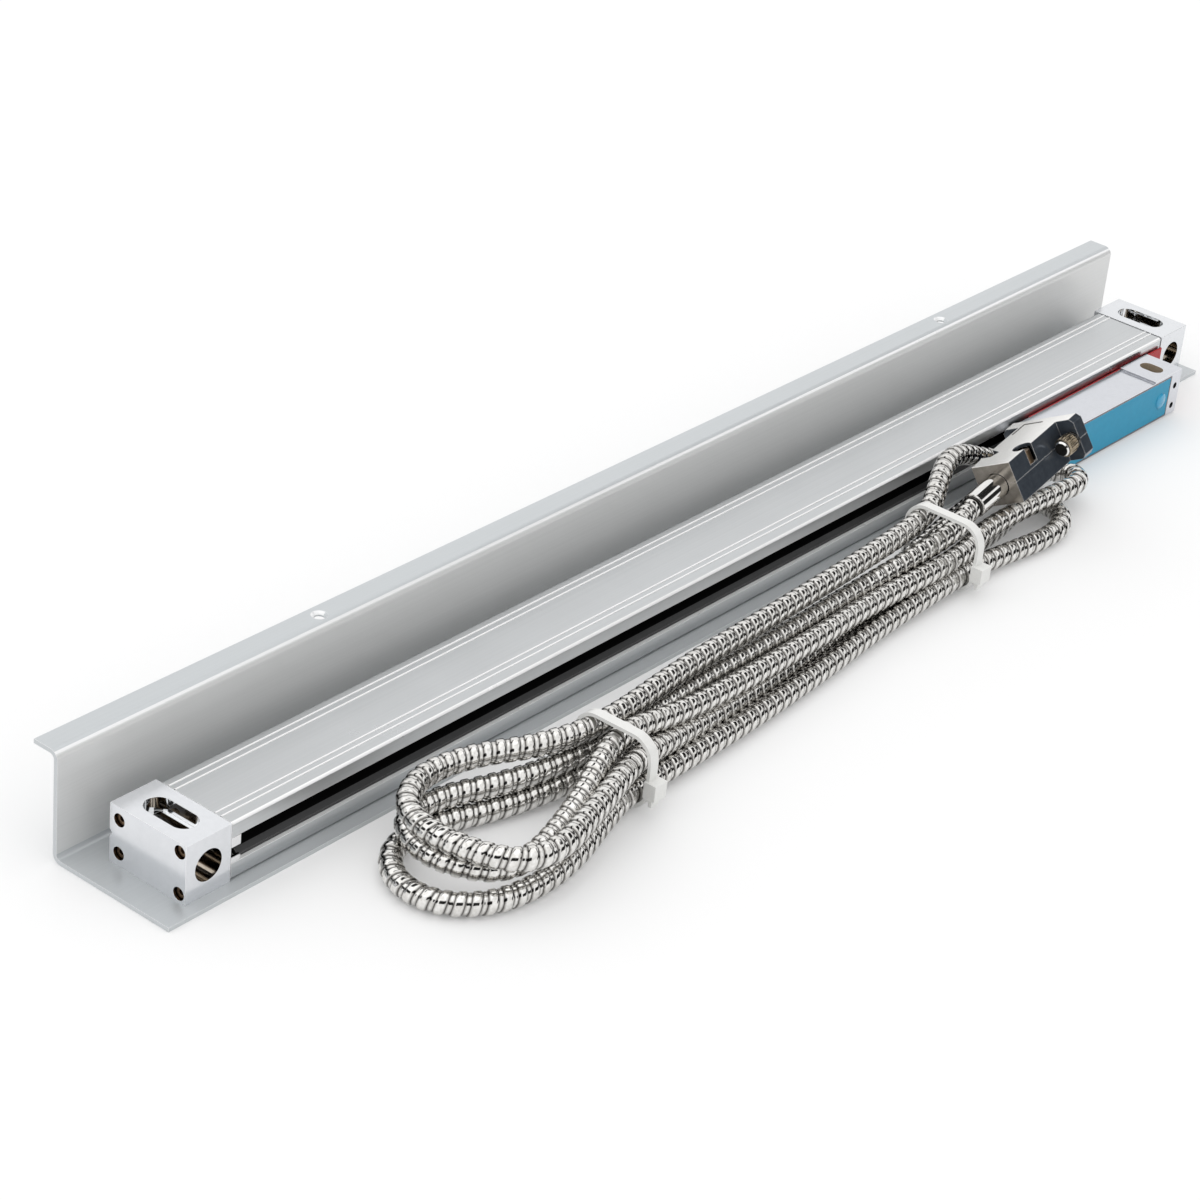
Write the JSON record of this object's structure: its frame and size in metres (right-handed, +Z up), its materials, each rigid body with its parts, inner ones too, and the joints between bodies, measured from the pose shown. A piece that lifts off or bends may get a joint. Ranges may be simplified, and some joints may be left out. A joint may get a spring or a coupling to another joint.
{
  "type": "linear glass scale",
  "caption": "Enclosed optical linear scale in a bent cover, with a sliding reading head, armoured cable and nine-pin plug",
  "frame": {"origin": "on the surface that the cover lies on, under the middle of the box of the scale, cover and head, with the free cable left out", "axes": "+X along the scale from the left end block to the right one, +Y from the reading head to the cover's wall, +Z up"},
  "size_m": [0.552, 0.122, 0.0394],
  "materials": {
    "cover": "satin sheet, folded",
    "extrusion": "satin anodised extrusion",
    "end_block": "polished casting",
    "socket_screw": "bronze-brown passivated",
    "gasket": "matte",
    "lip": "matte black",
    "clip": "bright",
    "scale_glass": "graduated strip",
    "bedding": "resilient",
    "head_casting": "polished",
    "label_plate": "bare blue plate",
    "circuit_board": "solder resist",
    "carriage": "machined",
    "blade": "spring steel",
    "roller": "ground",
    "led_housing": "moulded",
    "spacer": "red strip",
    "armour": "interlocked steel strip",
    "hank_fill": "envelope of the tied cable",
    "nylon": "natural nylon",
    "hood": "plated die casting",
    "plug_black": "moulded",
    "contact": "plated pins"
  },
  "bodies": {
    "scale_body": {"cover_guard": "cover", "housing_extrusion": "extrusion", "end_block_left": "end_block", "end_block_right": "end_block", "end_screws_left": "socket_screw", "end_screws_right": "socket_screw", "end_gasket_left": "gasket", "end_gasket_right": "gasket", "lip_seal_upper": "lip", "lip_seal_lower": "lip", "lip_clips_left": "clip", "lip_clips_right": "clip", "glass_scale": "scale_glass", "glass_bedding": "bedding"},
    "reading_head": {"head_block": "head_casting", "label_plate": "label_plate", "amplifier_board": "circuit_board", "blade_screws": "socket_screw", "coupling_blade": "blade", "carriage_frame": "carriage", "roller_pins": "roller", "led_module": "led_housing", "detector_board": "circuit_board", "index_grating": "scale_glass", "coupling_spring": "blade", "cable_gland": "armour", "cable_lead": "armour", "cable_hank": "hank_fill", "cable_tail": "armour", "cable_tie_left": "nylon", "cable_tie_right": "nylon", "plug_ferrule": "hood", "hood_upper": "hood", "hood_lower": "hood", "plug_shell": "hood", "plug_insulator": "plug_black", "plug_pins": "contact", "hood_clamp_screw": "roller"},
    "transport_spacer": {"transport_spacer": "spacer"},
    "thumb_screw_left": {"thumb_screw_left": "roller"},
    "thumb_screw_right": {"thumb_screw_right": "roller"},
    "roller_1": {"roller_1": "roller"},
    "roller_2": {"roller_2": "roller"},
    "roller_3": {"roller_3": "roller"},
    "roller_4": {"roller_4": "roller"},
    "roller_5": {"roller_5": "roller"}
  },
  "joints": [
    {"name": "head_slide", "type": "slide", "parent": "scale_body", "child": "reading_head", "axis": [1, 0, 0], "range_m": [-0.394, 0.01]},
    {"name": "spacer_lift", "type": "slide", "parent": "reading_head", "child": "transport_spacer", "axis": [0, 0, 1], "range_m": [0, 0.03]},
    {"name": "roller_1_spin", "type": "hinge", "parent": "reading_head", "child": "roller_1", "pos_m": [0.158, 0.00417, 0.01178], "axis": [0, 1, 0], "continuous": true},
    {"name": "roller_2_spin", "type": "hinge", "parent": "reading_head", "child": "roller_2", "pos_m": [0.23, 0.00417, 0.01178], "axis": [0, 1, 0], "continuous": true},
    {"name": "roller_3_spin", "type": "hinge", "parent": "reading_head", "child": "roller_3", "pos_m": [0.214, -0.00013, 0.01178], "axis": [0, 1, 0], "continuous": true},
    {"name": "roller_4_spin", "type": "hinge", "parent": "reading_head", "child": "roller_4", "pos_m": [0.158, -0.00524, 0.015], "axis": [0, 0, 1], "continuous": true},
    {"name": "roller_5_spin", "type": "hinge", "parent": "reading_head", "child": "roller_5", "pos_m": [0.23, -0.00524, 0.015], "axis": [0, 0, 1], "continuous": true},
    {"name": "thumb_screw_left_turn", "type": "hinge", "parent": "reading_head", "child": "thumb_screw_left", "pos_m": [0.1246, -0.03098, 0.01818], "axis": [0.9882, 0.0743, 0.134], "continuous": true},
    {"name": "thumb_screw_right_turn", "type": "hinge", "parent": "reading_head", "child": "thumb_screw_right", "pos_m": [0.12459, -0.0528, 0.03038], "axis": [0.9882, 0.0743, 0.134], "continuous": true}
  ],
  "couplings": [
    {"joint": "roller_1_spin", "follows": "head_slide", "rad_per_m": -454.55},
    {"joint": "roller_2_spin", "follows": "head_slide", "rad_per_m": -454.55},
    {"joint": "roller_3_spin", "follows": "head_slide", "rad_per_m": -454.55},
    {"joint": "roller_4_spin", "follows": "head_slide", "rad_per_m": 454.55},
    {"joint": "roller_5_spin", "follows": "head_slide", "rad_per_m": 454.55}
  ]
}
